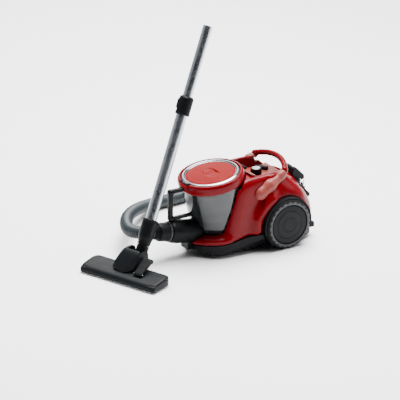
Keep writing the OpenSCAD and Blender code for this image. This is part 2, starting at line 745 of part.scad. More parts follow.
module upper_tube() color(steel) wand_frame() difference() {
  ring(13.8, upper_tube_r, wand_top - upper_len, wand_top);
  for (i = [0:19]) rotate([0, 0, notch_turn]) translate([upper_tube_r - 0.7, -4, wand_top - 22 - i * 17.5])
    cube([3, 8, 6]);
}

chassis();
body_shell();
top_deck();
carry_handle();
handle_ends();
arch_trims();
rear_axles();
inlet_housing();
park_bracket();
plug_bay();
exhaust_grille();
exhaust_filter();
motor_housing();
motor_stator();
motor_bearings();
reel_bracket();
control_board();
hose_sleeve();
hose_run();
hose_coil();
grip_body();
power_knob();
release_button();
rewind_button();
caster_fork();
caster_wheel();
rear_tyre_right();
rear_wheel_right();
rear_tyre_left();
rear_wheel_left();
rotor_shaft();
fan_impeller();
reel_drum();
wound_cord();
plug_body();
plug_pins();
hose_cuff();
cuff_ring();
grip_slider();
bin_cup();
bin_rim();
bin_handle();
cyclone_body();
cyclone_mesh();
pre_filter();
lid_ring();
lid_window();
nozzle_body();
nozzle_hood();
sole_plate();
nozzle_pins();
brush_strip();
pedal();
nozzle_rollers();
neck_yoke();
neck_tube();
lower_tube();
wand_collar();
upper_tube();
collar_slider();
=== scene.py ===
import itertools
import json
import math
import bpy
import bmesh
import numpy as np
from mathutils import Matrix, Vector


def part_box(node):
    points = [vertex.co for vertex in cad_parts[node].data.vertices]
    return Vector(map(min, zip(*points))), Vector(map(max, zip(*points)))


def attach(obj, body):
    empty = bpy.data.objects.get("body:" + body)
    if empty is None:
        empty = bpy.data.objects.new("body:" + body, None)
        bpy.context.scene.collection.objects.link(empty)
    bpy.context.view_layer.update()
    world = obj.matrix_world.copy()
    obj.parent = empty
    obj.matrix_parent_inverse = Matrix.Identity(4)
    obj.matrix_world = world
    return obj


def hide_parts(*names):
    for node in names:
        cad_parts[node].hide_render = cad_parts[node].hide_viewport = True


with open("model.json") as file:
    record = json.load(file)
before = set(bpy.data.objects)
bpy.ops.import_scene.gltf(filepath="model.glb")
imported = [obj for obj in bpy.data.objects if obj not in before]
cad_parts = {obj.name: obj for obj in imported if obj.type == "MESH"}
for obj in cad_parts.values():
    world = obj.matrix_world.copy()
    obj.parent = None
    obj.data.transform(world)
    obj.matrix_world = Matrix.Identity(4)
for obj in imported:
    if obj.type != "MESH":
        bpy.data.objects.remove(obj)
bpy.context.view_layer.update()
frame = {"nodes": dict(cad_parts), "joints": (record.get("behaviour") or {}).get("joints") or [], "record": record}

import openvdb
from mathutils import Matrix, Vector

joints = {j["name"]: j for j in frame["joints"]}
MM = 0.001

# ---------------------------------------------------------------- places, from the frame

axle_low, axle_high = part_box("rear_axles")
AXLE = (Vector(axle_low) + Vector(axle_high)) / 2
FLOOR_AXLE = Vector((AXLE.x, AXLE.y, 0.0))


def can(x, y, z):
    """A point of the canister, in millimetres from the floor under the middle of its rear axle, in the row frame."""
    return FLOOR_AXLE + Vector((x, y, z)) * MM


def basis(origin, x_axis, y_axis, z_axis):
    """The matrix of a local frame whose units are metres."""
    m = Matrix((x_axis, y_axis, z_axis)).transposed().to_4x4()
    m.translation = origin
    return m


UP = Vector((0, 0, 1))
BIN_AXIS = Vector(joints["bin_lift"]["axis"]).normalized()
WIDE = Vector(joints["wand_tilt"]["axis"]).normalized()
NOZZLE_BACK = UP.cross(WIDE)
WAND = Vector(joints["wand_extend"]["axis"]).normalized()
PIVOT = Vector(joints["wand_tilt"]["pos_m"])

# The wand's tilt axis in the nozzle's frame, whose origin is on the floor at the middle of the front edge.
PIVOT_ALONG, PIVOT_BACK, PIVOT_UP = 14, 95, 45
NOZZLE_ORIGIN = Vector((PIVOT.x, PIVOT.y, 0)) - (NOZZLE_BACK * PIVOT_BACK + WIDE * PIVOT_ALONG) * MM
NOZZLE = basis(NOZZLE_ORIGIN, WIDE, NOZZLE_BACK, UP)
WAND_FRAME = basis(PIVOT, WIDE, WAND.cross(WIDE), WAND)
LID_AT = (0, -204, 246)
BIN_BACK = BIN_AXIS.cross(Vector((1, 0, 0)))
BIN = basis(can(*LID_AT), Vector((1, 0, 0)), BIN_BACK, BIN_AXIS)
CANISTER = Matrix.Translation(FLOOR_AXLE)

# ---------------------------------------------------------------- camera

CAMERA_AZIMUTH = math.radians(58)
CAMERA_ELEVATION = math.radians(22)
CAMERA_DISTANCE = 9.0
CAMERA_LENS = 259.4
CAMERA_TARGET = can(-57, -207, 141)


def make_camera():
    data = bpy.data.cameras.new("view_camera")
    data.lens = CAMERA_LENS
    data.sensor_width = 36
    camera = bpy.data.objects.new("view_camera", data)
    bpy.context.scene.collection.objects.link(camera)
    flat = math.cos(CAMERA_ELEVATION)
    away = Vector((math.sin(CAMERA_AZIMUTH) * flat, -math.cos(CAMERA_AZIMUTH) * flat, math.sin(CAMERA_ELEVATION)))
    camera.location = CAMERA_TARGET + away * CAMERA_DISTANCE
    camera.rotation_euler = (-away).to_track_quat("-Z", "Y").to_euler()
    bpy.context.scene.camera = camera


make_camera()

# ---------------------------------------------------------------- material helpers


class Nodes:
    """A small wrapper that builds one material's node tree."""

    def __init__(self, name):
        self.material = bpy.data.materials.new(name)
        self.material.use_nodes = True
        self.tree = self.material.node_tree
        self.shader = self.tree.nodes["Principled BSDF"]

    def add(self, kind, **values):
        node = self.tree.nodes.new(kind)
        for key, value in values.items():
            if key in node.inputs:
                node.inputs[key].default_value = value
            else:
                setattr(node, key, value)
        return node

    def link(self, out, socket):
        self.tree.links.new(out, socket)

    def set(self, **values):
        for key, value in values.items():
            self.shader.inputs[key.replace("_", " ")].default_value = value

    def place(self):
        return self.add("ShaderNodeTexCoord").outputs["Object"]

    def noise(self, scale, detail=3.0, roughness=0.55, vector=None):
        node = self.add("ShaderNodeTexNoise", Scale=scale, Detail=detail, Roughness=roughness)
        self.link(vector or self.place(), node.inputs["Vector"])
        return node.outputs["Fac"]

    def spread(self, value, low, high, from_low=0.3, from_high=0.7):
        """A value of from_low to from_high, spread out to low to high. Noise mostly lies from 0.3 to 0.7."""
        node = self.add("ShaderNodeMapRange")
        node.inputs["From Min"].default_value = from_low
        node.inputs["From Max"].default_value = from_high
        node.inputs["To Min"].default_value = low
        node.inputs["To Max"].default_value = high
        self.link(value, node.inputs["Value"])
        return node.outputs["Result"]

    def math(self, operation, a, b):
        node = self.add("ShaderNodeMath", operation=operation)
        self.link(a, node.inputs[0])
        self.link(b, node.inputs[1])
        return node.outputs[0]

    def blend(self, factor, first, second):
        """A mix of two colours, each of them a socket or a colour's numbers."""
        node = self.add("ShaderNodeMix", data_type="RGBA")
        self.link(factor, node.inputs[0])
        for socket, value in ((node.inputs[6], first), (node.inputs[7], second)):
            if hasattr(value, "links"):
                self.link(value, socket)
            else:
                socket.default_value = (*value, 1.0)
        return node.outputs[2]

    def bump(self, height, strength, distance):
        node = self.add("ShaderNodeBump", Strength=strength, Distance=distance)
        self.link(height, node.inputs["Height"])
        self.link(node.outputs["Normal"], self.shader.inputs["Normal"])


def shade_of(colour, factor):
    return [min(1.0, c * factor) for c in colour]


DUST = (0.45, 0.44, 0.43)
FINE_RELIEF = 0.0004


def moulded(name, colour, rough, grain=0.0, grain_scale=900.0, coat=0.0, mottle=0.12, dust=0.0, shine=0.4):
    """Moulded plastic: slow colour drift, uneven gloss, spark-eroded grain and a little dust on upward faces."""
    n = Nodes(name)
    drift = n.spread(n.noise(14.0, 4.0), 0.0, 1.0)
    base = n.blend(drift, shade_of(colour, 1 - mottle), shade_of(colour, 1 + mottle))
    if dust:
        geometry = n.add("ShaderNodeNewGeometry")
        split = n.add("ShaderNodeSeparateXYZ")
        n.link(geometry.outputs["Normal"], split.inputs[0])
        facing = n.spread(split.outputs["Z"], 0.0, dust, 0.2, 1.0)
        speck = n.math("MULTIPLY", facing, n.spread(n.noise(60.0, 5.0), 0.3, 1.0))
        base = n.blend(speck, base, DUST)
    n.link(base, n.shader.inputs["Base Color"])
    wear = n.noise(35.0, 5.0, 0.65)
    n.link(n.spread(wear, rough * 0.86, min(1.0, rough * 1.18)), n.shader.inputs["Roughness"])
    n.set(IOR=1.5, Specular_IOR_Level=shine, Coat_Weight=coat, Coat_Roughness=0.06)
    if grain:
        n.bump(n.noise(grain_scale, 2.0, 0.5), grain, FINE_RELIEF)
    else:
        n.bump(n.noise(9.0, 2.0), 0.05, 0.002)
    return n.material


def metal(name, colour, rough, stretch=(1.0, 1.0, 1.0), scale=260.0, strength=0.06, turn=None):
    """Drawn or ground metal: fine lines along one direction, with smudges in the gloss."""
    n = Nodes(name)
    mapping = n.add("ShaderNodeMapping")
    mapping.inputs["Scale"].default_value = stretch
    if turn is not None:
        mapping.inputs["Rotation"].default_value = turn
        mapping.vector_type = "TEXTURE"
    n.link(n.place(), mapping.inputs["Vector"])
    lines = n.noise(scale, 3.0, 0.6, mapping.outputs["Vector"])
    smudge = n.noise(20.0, 4.0)
    n.link(n.blend(n.spread(lines, 0.0, 1.0), shade_of(colour, 0.92), shade_of(colour, 1.04)),
           n.shader.inputs["Base Color"])
    mixed = n.math("ADD", n.spread(lines, 0.0, rough * 0.25), n.spread(smudge, rough * 0.8, rough * 1.15))
    n.link(mixed, n.shader.inputs["Roughness"])
    n.set(Metallic=1.0)
    n.bump(lines, strength, FINE_RELIEF)
    return n.material


def clear_plastic(name, colour, transmission, rough, shine):
    """Clear moulded plastic with faint haze and scuffs."""
    n = Nodes(name)
    haze = n.noise(25.0, 5.0)
    scuff = n.noise(180.0, 4.0, 0.7)
    n.link(n.blend(n.spread(haze, 0.0, 1.0), shade_of(colour, 0.95), shade_of(colour, 1.05)),
           n.shader.inputs["Base Color"])
    n.link(n.math("ADD", n.spread(haze, rough * 0.6, rough * 1.2), n.spread(scuff, 0.0, 0.05, 0.6, 0.8)),
           n.shader.inputs["Roughness"])
    n.set(IOR=1.49, Specular_IOR_Level=shine, Transmission_Weight=transmission)
    n.bump(haze, 0.03, 0.001)
    return n.material


def woven(name, colour, scale, depth):
    """Open foam, felt or bristle: cells and fibres in colour and relief."""
    n = Nodes(name)
    cells = n.add("ShaderNodeTexVoronoi", Scale=scale)
    n.link(n.place(), cells.inputs["Vector"])
    fibres = n.noise(scale * 2.2, 4.0)
    pattern = n.math("MULTIPLY", cells.outputs["Distance"], fibres)
    n.link(n.blend(n.spread(pattern, 0.0, 1.0, 0.05, 0.4), shade_of(colour, 0.55), shade_of(colour, 1.1)),
           n.shader.inputs["Base Color"])
    n.link(n.spread(fibres, 0.855, 0.9975), n.shader.inputs["Roughness"])
    n.bump(pattern, 0.5, depth)
    return n.material


WAND_TURN = WAND.to_track_quat("Z", "Y").to_euler()
RED = (0.125, 0.0005, 0.0034)
# A lighter copy of RED: the soft-box highlight on the shoulder pads is painted into this colour. The deck panel
# shares it.
HIGHLIGHT_RED = (0.2, 0.04, 0.033)
BLACK = (0.0035, 0.0038, 0.0048)
GRAPHITE = (0.005, 0.006, 0.007)

MATERIALS = {
    "red_gloss": moulded("red_gloss", RED, 0.22, coat=0.05, mottle=0.05, shine=0.08),
    # pale_red is the same red plastic with its highlight painted in as a lighter colour.
    "pale_red": moulded("pale_red", HIGHLIGHT_RED, 0.3, coat=0.05, mottle=0.05, shine=0.15),
    "black_matte": moulded("black_matte", BLACK, 0.42, grain=0.25, dust=0.002, shine=0.1),
    "graphite_matte": moulded("graphite_matte", GRAPHITE, 0.45, grain=0.3, dust=0.002, shine=0.1),
    "black_gloss": moulded("black_gloss", (0.003, 0.003, 0.0036), 0.25, coat=0.02, shine=0.08),
    "dark_core": moulded("dark_core", (0.03, 0.033, 0.036), 0.4, grain=0.15),
    "bright_ring": metal("bright_ring", (0.45, 0.45, 0.47), 0.06, strength=0.02),
    "ring_grey": moulded("ring_grey", (0.04, 0.043, 0.047), 0.35, shine=0.2),
    "tube_metal": metal("tube_metal", (0.52, 0.56, 0.61), 0.26, (1.0, 1.0, 0.03), 420.0, 0.05, WAND_TURN),
    "steel_part": metal("steel_part", (0.55, 0.56, 0.58), 0.3, (0.05, 1.0, 1.0), 400.0),
    "hose_grey": moulded("hose_grey", (0.026, 0.033, 0.037), 0.34, coat=0.05, mottle=0.1, shine=0.2),
    "tyre_rubber": moulded("tyre_rubber", (0.005, 0.005, 0.0055), 0.7, grain=0.4, grain_scale=600.0, dust=0.01,
                           shine=0.12),
    "bristle": woven("bristle", (0.03, 0.03, 0.032), 900.0, 0.001),
    "filter_foam": woven("filter_foam", (0.6, 0.6, 0.57), 500.0, 0.0015),
    "mesh_metal": metal("mesh_metal", (0.4, 0.41, 0.43), 0.35),
    "copper_winding": metal("copper_winding", (0.5, 0.22, 0.1), 0.35, (1.0, 0.1, 1.0)),
    "board_green": moulded("board_green", (0.02, 0.12, 0.05), 0.3, coat=0.5),
    "cord_black": moulded("cord_black", (0.018, 0.018, 0.02), 0.55, grain=0.2),
    "smoke_clear": clear_plastic("smoke_clear", (0.06, 0.068, 0.072), 0.8, 0.05, 0.35),
    "lid_tint": clear_plastic("lid_tint", (0.17, 0.003, 0.003), 0.03, 0.26, 0.03),
}

slots = {s["node"]: s["material_slot"] for s in frame["record"]["subparts"]}
for node, obj in frame["nodes"].items():
    obj.data.materials.clear()
    obj.data.materials.append(MATERIALS[slots[node]])


def finish_piece(obj, body, material_slot, replaced=()):
    """Gives a new piece its body and its material."""
    obj.data.materials.clear()
    obj.data.materials.append(MATERIALS[material_slot])
    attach(obj, body)
    if replaced:
        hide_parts(*replaced)
    return obj


def mesh_object(name, vertices, faces, smooth=True):
    mesh = bpy.data.meshes.new(name)
    mesh.from_pydata([tuple(v) for v in vertices], [], [tuple(f) for f in faces])
    mesh.update()
    if smooth:
        mesh.polygons.foreach_set("use_smooth", [True] * len(mesh.polygons))
    obj = bpy.data.objects.new(name, mesh)
    bpy.context.scene.collection.objects.link(obj)
    return obj


# ---------------------------------------------------------------- hose

HOSE_R = 20.5
HOSE_RIB_PITCH = 6.4
HOSE_RIB_DEPTH = 2.4
HOSE_SIDES = 28
CUFF_MOUTH = (0.0, -399.216, 94.673)
HOSE_POINTS = [
    CUFF_MOUTH, (0, -416, 97.6), (-7, -432, 98), (-25, -448, 96), (-53, -454, 91), (-93, -447, 85),
    (-147, -422, 78), (-203, -384, 70), (-256, -335, 59), (-305, -278, 44), (-345, -222, 28),
    (-361, -175, 22), (-364, -134, 21), (-366, -92, 21), (-370, -42, 21), (-374, 8, 21), (-375.4, 60, 21),
]
COIL_CENTRE = (-295, 95)
COIL_IN, COIL_OUT, COIL_TOP_R = 80, 122, 106
COIL_Z, COIL_TOP_Z = 20.7, 61.5
# Degrees turned, from the start of the coil.
COIL_SWEEP, COIL_STEP = 540, 6
COIL_WIDENS = (275, 360)
COIL_CLIMBS = (420, 490)
HUMP_FROM, HUMP_TO, HUMP_RISE = 245, 395, 43


def smoothstep(value, low, high):
    t = min(1.0, max(0.0, (value - low) / (high - low)))
    return t * t * (3 - 2 * t)


def coil_points():
    """The hose's inner turn, its long hump over the incoming run, its outer turn, and its rise onto the turns."""
    points = []
    for turned in range(0, COIL_SWEEP + 1, COIL_STEP):
        angle = math.radians(180 - turned)
        climb = smoothstep(turned, *COIL_CLIMBS)
        radius = COIL_IN + (COIL_OUT - COIL_IN) * smoothstep(turned, *COIL_WIDENS)
        radius += (COIL_TOP_R - COIL_OUT) * climb
        z = COIL_Z + (COIL_TOP_Z - COIL_Z) * climb
        if HUMP_FROM < turned < HUMP_TO:
            z += HUMP_RISE * math.sin(math.pi * (turned - HUMP_FROM) / (HUMP_TO - HUMP_FROM)) ** 2
        points.append((COIL_CENTRE[0] + radius * math.cos(angle), COIL_CENTRE[1] + radius * math.sin(angle), z))
    return points


def resample(points, step):
    """Points every step along a smooth curve through the given ones, and the curve's length."""
    control = np.array(points, float)
    padded = np.vstack([2 * control[0] - control[1], control, 2 * control[-1] - control[-2]])
    fine = []
    for i in range(1, len(padded) - 2):
        a, b, c, d = padded[i - 1:i + 3]
        for t in np.linspace(0, 1, 24, endpoint=False):
            fine.append(0.5 * (2 * b + (c - a) * t + (2 * a - 5 * b + 4 * c - d) * t ** 2
                               + (3 * b - a - 3 * c + d) * t ** 3))
    fine.append(padded[-2])
    fine = np.array(fine)
    along = np.concatenate([[0], np.cumsum(np.linalg.norm(np.diff(fine, axis=0), axis=1))])
    count = max(2, round(along[-1] / step) + 1)
    wanted = np.linspace(0, along[-1], count)
    return np.stack([np.interp(wanted, along, fine[:, k]) for k in range(3)], axis=1), along[-1]


def frames_along(path):
    """A side and an up direction at each point, carried along without twist."""
    heading = np.gradient(path, axis=0)
    heading /= np.linalg.norm(heading, axis=1)[:, None]
    side = np.cross([0, 0, 1.0], heading[0])
    side /= np.linalg.norm(side)
    sides, ups = [], []
    for h in heading:
        side = side - h * (side @ h)
        side /= np.linalg.norm(side)
        sides.append(side.copy())
        ups.append(np.cross(h, side))
    return np.array(sides), np.array(ups)


def tube_mesh(name, path, radii, sides):
    """A tube along path, with its own radius at each point and closed ends."""
    side, up = frames_along(path)
    turn = np.linspace(0, 2 * math.pi, sides, endpoint=False)
    ring = (np.cos(turn)[None, :, None] * side[:, None, :] + np.sin(turn)[None, :, None] * up[:, None, :])
    vertices = (path[:, None, :] + ring * np.asarray(radii)[:, None, None]).reshape(-1, 3)
    faces = []
    for i in range(len(path) - 1):
        for k in range(sides):
            k2 = (k + 1) % sides
            faces.append((i * sides + k, i * sides + k2, (i + 1) * sides + k2, (i + 1) * sides + k))
    faces.append(tuple(reversed(range(sides))))
    faces.append(tuple(range((len(path) - 1) * sides, len(path) * sides)))
    return mesh_object(name, vertices, faces)


def make_hose():
    path, length = resample(HOSE_POINTS + coil_points(), HOSE_RIB_PITCH / 4)
    along = np.linspace(0, length, len(path))
    phase = (along / HOSE_RIB_PITCH) % 1.0
    radii = HOSE_R - HOSE_RIB_DEPTH * (0.5 - 0.5 * np.cos(2 * math.pi * phase)) ** 1.5
    row = np.array([can(*p) for p in path])
    hose = tube_mesh("ribbed_hose", row, radii * MM, HOSE_SIDES)
    finish_piece(hose, "canister", "hose_grey", ("hose_run", "hose_coil"))


make_hose()

# ---------------------------------------------------------------- moulded shapes

# A field is a function of x, y and z, in millimetres, that gives the signed distance to a surface.


def soft_min(a, b, soft):
    if soft <= 0:
        return np.minimum(a, b)
    near = np.maximum(soft - np.abs(a - b), 0) / soft
    return np.minimum(a, b) - near * near * soft / 4


def soft_max(a, b, soft):
    return -soft_min(-a, -b, soft)


def union(*fields, soft=0.0):
    def field(x, y, z):
        d = fields[0](x, y, z)
        for f in fields[1:]:
            d = soft_min(d, f(x, y, z), soft)
        return d
    return field


def common(*fields, soft=0.0):
    def field(x, y, z):
        d = fields[0](x, y, z)
        for f in fields[1:]:
            d = soft_max(d, f(x, y, z), soft)
        return d
    return field


def cut(body, *tools, soft=0.0):
    return common(body, *(opposite(t) for t in tools), soft=soft)


def opposite(f):
    return lambda x, y, z: -f(x, y, z)


def grown(f, by):
    return lambda x, y, z: f(x, y, z) - by


def mirrored(f):
    return lambda x, y, z: f(np.abs(x), y, z)


def rounded(points, radius):
    """The outline with its corners eased; radius is one number, or one for each corner."""
    count = len(points)
    radii = [radius] * count if np.isscalar(radius) else radius
    out = []
    for i in range(count):
        p = np.array(points[i], float)
        sides = [np.array(points[(i + k) % count], float) - p for k in (-1, 1)]
        if radii[i] <= 0:
            out.append(tuple(p))
            continue
        a, b = (p + s * min(radii[i] / np.linalg.norm(s), 0.45) for s in sides)
        for t in np.linspace(0, 1, 6):
            out.append(tuple((1 - t) ** 2 * a + 2 * t * (1 - t) * p + t * t * b))
    return out


def outline_distance(u, v, points):
    """The signed distance from (u, v) to a closed outline, negative inside it."""
    nearest, inside = None, None
    for (ax, ay), (bx, by) in zip(points, points[1:] + points[:1]):
        ex, ey, wx, wy = bx - ax, by - ay, u - ax, v - ay
        t = np.clip((wx * ex + wy * ey) / max(ex * ex + ey * ey, 1e-9), 0, 1)
        d = (wx - ex * t) ** 2 + (wy - ey * t) ** 2
        above, below, left = wy >= 0, v < by, ex * wy > ey * wx
        crossing = (above & below & left) | (~above & ~below & ~left)
        nearest = d if nearest is None else np.minimum(nearest, d)
        inside = crossing if inside is None else inside ^ crossing
    return np.where(inside, -1, 1) * np.sqrt(nearest)


def slab(value, low, high):
    """The signed distance to the space from low to high along one axis."""
    return np.abs(value - (low + high) / 2) - (high - low) / 2


def side_prism(points, low, high, soft=0.0):
    """A (y, z) outline, from x low to x high."""
    def field(x, y, z):
        return soft_max(outline_distance(y, z, points), slab(x, low, high), soft)
    return field


def plan_prism(points, low, high):
    """An (x, y) outline, from z low to z high."""
    return lambda x, y, z: np.maximum(outline_distance(x, y, points), slab(z, low, high))


def lathe(points):
    """An (r, z) outline, turned about Z."""
    return lambda x, y, z: outline_distance(np.sqrt(x * x + y * y), z, points)


def block(low, high, edge=0.0):
    """A box from low to high with its edges rounded."""
    def field(x, y, z):
        q = [np.abs(v - (a + b) / 2) - (b - a) / 2 + edge for v, a, b in zip((x, y, z), low, high)]
        outside = np.sqrt(sum(np.maximum(v, 0) ** 2 for v in q))
        return outside + np.minimum(np.maximum(np.maximum(q[0], q[1]), q[2]), 0) - edge
    return field


def rod(a, b, ra, rb=None):
    """A round-ended bar from a to b, whose radius may change along it."""
    a, b = np.array(a, float), np.array(b, float)
    e = b - a
    rb = ra if rb is None else rb

    def field(x, y, z):
        w = (x - a[0], y - a[1], z - a[2])
        t = np.clip((w[0] * e[0] + w[1] * e[1] + w[2] * e[2]) / (e @ e), 0, 1)
        return np.sqrt(sum((w[k] - e[k] * t) ** 2 for k in range(3))) - (ra + (rb - ra) * t)
    return field


def drum(a, b, radius, edge=0.0):
    """A flat-ended cylinder from a to b."""
    a, b = np.array(a, float), np.array(b, float)
    axis = (b - a) / np.linalg.norm(b - a)
    middle, half = (a + b) / 2, np.linalg.norm(b - a) / 2

    def field(x, y, z):
        w = (x - middle[0], y - middle[1], z - middle[2])
        along = w[0] * axis[0] + w[1] * axis[1] + w[2] * axis[2]
        out = np.sqrt(np.maximum(w[0] ** 2 + w[1] ** 2 + w[2] ** 2 - along ** 2, 0)) - radius + edge
        end = np.abs(along) - half + edge
        outside = np.sqrt(np.maximum(out, 0) ** 2 + np.maximum(end, 0) ** 2)
        return outside + np.minimum(np.maximum(out, end), 0) - edge
    return field


def beyond(point, turn, lean):
    """Everything past the plane through the point that faces along turn and lean, in degrees."""
    turn, lean = math.radians(turn), math.radians(lean)
    n = (math.cos(turn) * math.cos(lean), math.sin(turn) * math.cos(lean), math.sin(lean))
    return lambda x, y, z: -((x - point[0]) * n[0] + (y - point[1]) * n[1] + (z - point[2]) * n[2])


def leaned(f, origin, degrees):
    """A field given in a frame that sits at origin and is turned about X."""
    c, s = math.cos(math.radians(degrees)), math.sin(math.radians(degrees))

    def field(x, y, z):
        v, w = y - origin[1], z - origin[2]
        return f(x - origin[0], v * c + w * s, w * c - v * s)
    return field


def solid(name, field, low, high, step, frame_matrix):
    """The mesh of a field's surface inside a box, laid exactly onto the surface."""
    low = np.array(low, float) - 2 * step
    axes = [np.arange(a, b + 3 * step, step) for a, b in zip(low, high)]
    x, y, z = np.ix_(*axes)
    values = np.broadcast_to(field(x, y, z), [len(a) for a in axes]).astype(np.float32)
    grid = openvdb.FloatGrid(float(10 * step))
    grid.copyFromArray(np.ascontiguousarray(values))
    grid.transform = openvdb.createLinearTransform(step)
    points, quads = grid.convertToQuads(0.0)
    p = [points[:, k].astype(float) + low[k] for k in range(3)]
    nudge = 0.2 * step
    for _ in range(3):
        d = field(*p)
        slope = [(field(*[v + nudge * (i == k) for i, v in enumerate(p)]) - d) / nudge for k in range(3)]
        steep = np.maximum(sum(s * s for s in slope), 0.05)
        move = np.clip(d / steep, -0.6 * step, 0.6 * step)
        p = [v - s * move for v, s in zip(p, slope)]
    obj = mesh_object(name, np.stack(p, axis=1) * MM, quads)
    obj.data.transform(frame_matrix)
    return obj


# ---------------------------------------------------------------- canister

BIN_TILT = 9
BIN_FLOOR, BIN_LIP = -188, -22
BIN_FOOT_R, BIN_TOP_R, RIM_R, BIN_GAP = 80, 97, 105, 1.5
NOSE_R, NOSE_Y = 112, -178
WHEEL_Z, ARCH_R, WELL_X, WELL_DEPTH = 81, 86, 96, 60
WALL = 4
KNOB_Y, KNOB_FLUTES = -36, 18
REWIND_R, REWIND_HALF = 69, 7.4
DECK_HALF = 76
INLET_AT, INLET_PITCH = (0, -316, 80), 10
PLUG_X, PLUG_Y, PLUG_FOOT = 45, 106, 134
HANDLE_HALF, HANDLE_Y, HANDLE_FOOT_Z, HANDLE_RISE, HANDLE_BAR_R = 86, 14, 245, 30, 9
HANDLE_LEAN = math.radians(60)
RELEASE_AT, RELEASE_LEAN = (0, -86, 246), -25
HINGE_Y, HINGE_Z = -93.5, 6
LIP_X, LIP_BEND_R, LIP_R = 111, 99, 11


def in_bin(f):
    return leaned(f, LID_AT, BIN_TILT)


def in_inlet(f):
    return leaned(f, INLET_AT, 90 - INLET_PITCH)


def in_release(f):
    return leaned(f, RELEASE_AT, RELEASE_LEAN)


def nose_arc():
    """The round nose in plan, from its right end to the middle."""
    edge = math.asin(110 / NOSE_R)
    return [(NOSE_R * math.sin(a), NOSE_Y - NOSE_R * math.cos(a)) for a in np.linspace(edge, 0, 18)]


PLAN = rounded([(-20, 130), (60, 130), (94, 112), (118, 70), (124, 0), (119, -90)], [0, 20, 30, 40, 60, 40])
PLAN += nose_arc() + [(-20, NOSE_Y - NOSE_R)]
SECTION = rounded([(-20, 10), (100, 10), (118, 40), (124, 80), (122, 150), (110, 200), (96, 236), (84, 247),
                   (-20, 247)], [0, 10, 20, 40, 60, 60, 30, 20, 0])
SIDE = rounded(
    [(-292, 32), (-266, 40), (-200, 46), (-134, 57), (-88, 58), (88, 44), (127, 44), (130, 80), (127, 136),
     (112, 170), (88, 203), (50, 216), (20, 240), (-20, 246), (-128, 244), (-169, 218), (-208, 73), (-240, 70),
     (-262, 66), (-291, 51)],
    [3, 14, 20, 14, 10, 4, 4, 30, 30, 30, 30, 40, 30, 40, 14, 12, 16, 16, 16, 5])


def shell_outside():
    """The outer form of the red shell, before its openings."""
    plan = mirrored(lambda x, y, z: outline_distance(x, y, PLAN))
    section = mirrored(lambda x, y, z: outline_distance(x, z, SECTION))
    side = lambda x, y, z: outline_distance(y, z, SIDE)
    form = common(common(plan, section, soft=10), side, soft=14)
    tail = mirrored(beyond((100, 38, 206), 63, 39.6))
    form = common(form, opposite(tail), soft=34)
    ledge = lambda x, y, z: 67 - z
    flank = common(mirrored(beyond((92, -196, 139), -32, 10)), ledge, lambda x, y, z: y, soft=16)
    form = common(form, opposite(flank), soft=12)
    angles = [math.radians(a) for a in range(-3, 61, 9)]
    bend = [(LIP_X, -LIP_BEND_R * math.cos(a), WHEEL_Z + LIP_BEND_R * math.sin(a)) for a in angles]
    lip = union(*(rod(a, b, LIP_R) for a, b in zip(bend, bend[1:])))
    return union(form, mirrored(lip), soft=30)


def bin_cup(gap=0.0):
    """The bin's cup, grown by a gap at its side and floor, in the bin's frame."""
    floor = BIN_FLOOR - gap
    return lathe([(0, floor), (BIN_FOOT_R + gap, floor), (BIN_TOP_R + gap, BIN_LIP), (0, BIN_LIP)])


def bin_recess():
    """The room that the shell leaves for the bin and its rim."""
    rim = RIM_R + BIN_GAP
    return in_bin(union(bin_cup(BIN_GAP), lathe([(0, BIN_LIP - 15), (rim, BIN_LIP - 15), (rim, 98), (0, 98)])))


def wells(x, r):
    """The room for the two rear wheels, outward from x."""
    return mirrored(drum((x, 0, WHEEL_Z), (x + WELL_DEPTH, 0, WHEEL_Z), r))


PARK = [(82, 196), (88, 214), (100, 213), (130, 182), (130, 170), (110, 166), (92, 176)]


def make_shell():
    outside = shell_outside()
    room_inside = side_prism([(-92, 50), (-88, 50), (88, 36), (127, 36), (126, 80), (123, 134), (108, 167), (85, 192),
                              (-86, 192), (-86, 50)], -130, 130)
    hollow = common(grown(outside, -WALL), room_inside, opposite(wells(WELL_X - WALL, ARCH_R + WALL)))
    recess = bin_recess()
    deck_opening = side_prism([(-104, 246), (-92, 240), (-82, 180), (44, 180), (48, 206), (48, 300), (-104, 300)],
                              -DECK_HALF, DECK_HALF)
    openings = [
        # The hose inlet and the web under it.
        union(in_inlet(drum((0, 0, -70), (0, 0, 70), 38.2)), block((-20.2, -302, 19.5), (20.2, -262, 80))),
        # The caster, the parking bracket, the plug's bay and the exhaust grille.
        drum((0, -225, -1), (0, -225, 41), 34),
        side_prism(PARK, -26.2, 26.2),
        block((PLUG_X - 20, 82, PLUG_FOOT - 8), (PLUG_X + 20, 140, 240)),
        block((-45, 118, 64), (45, 140, 124)),
        # The handle's feet and the lid's release button.
        mirrored(drum((HANDLE_HALF, HANDLE_Y, 220), (HANDLE_HALF, HANDLE_Y, 255), 10.3)),
        in_release(block((-15.5, -6.7, -9.5), (15.5, 6.7, 4.5))),
    ]
    form = cut(outside, recess, deck_opening, wells(WELL_X, ARCH_R + 0.3), soft=5)
    form = cut(form, *openings, soft=1.5)
    form = cut(form, hollow, soft=0.5)
    shell = solid("shell_skin", form, (-126, -292, 20), (126, 134, 250), 2.6, CANISTER)
    cradle = split_faces(shell, "bin_cradle", lambda p: np.abs(recess(*p)) < 0.8)
    finish_piece(shell, "canister", "red_gloss", ("body_shell",))
    finish_piece(cradle, "canister", "black_matte")


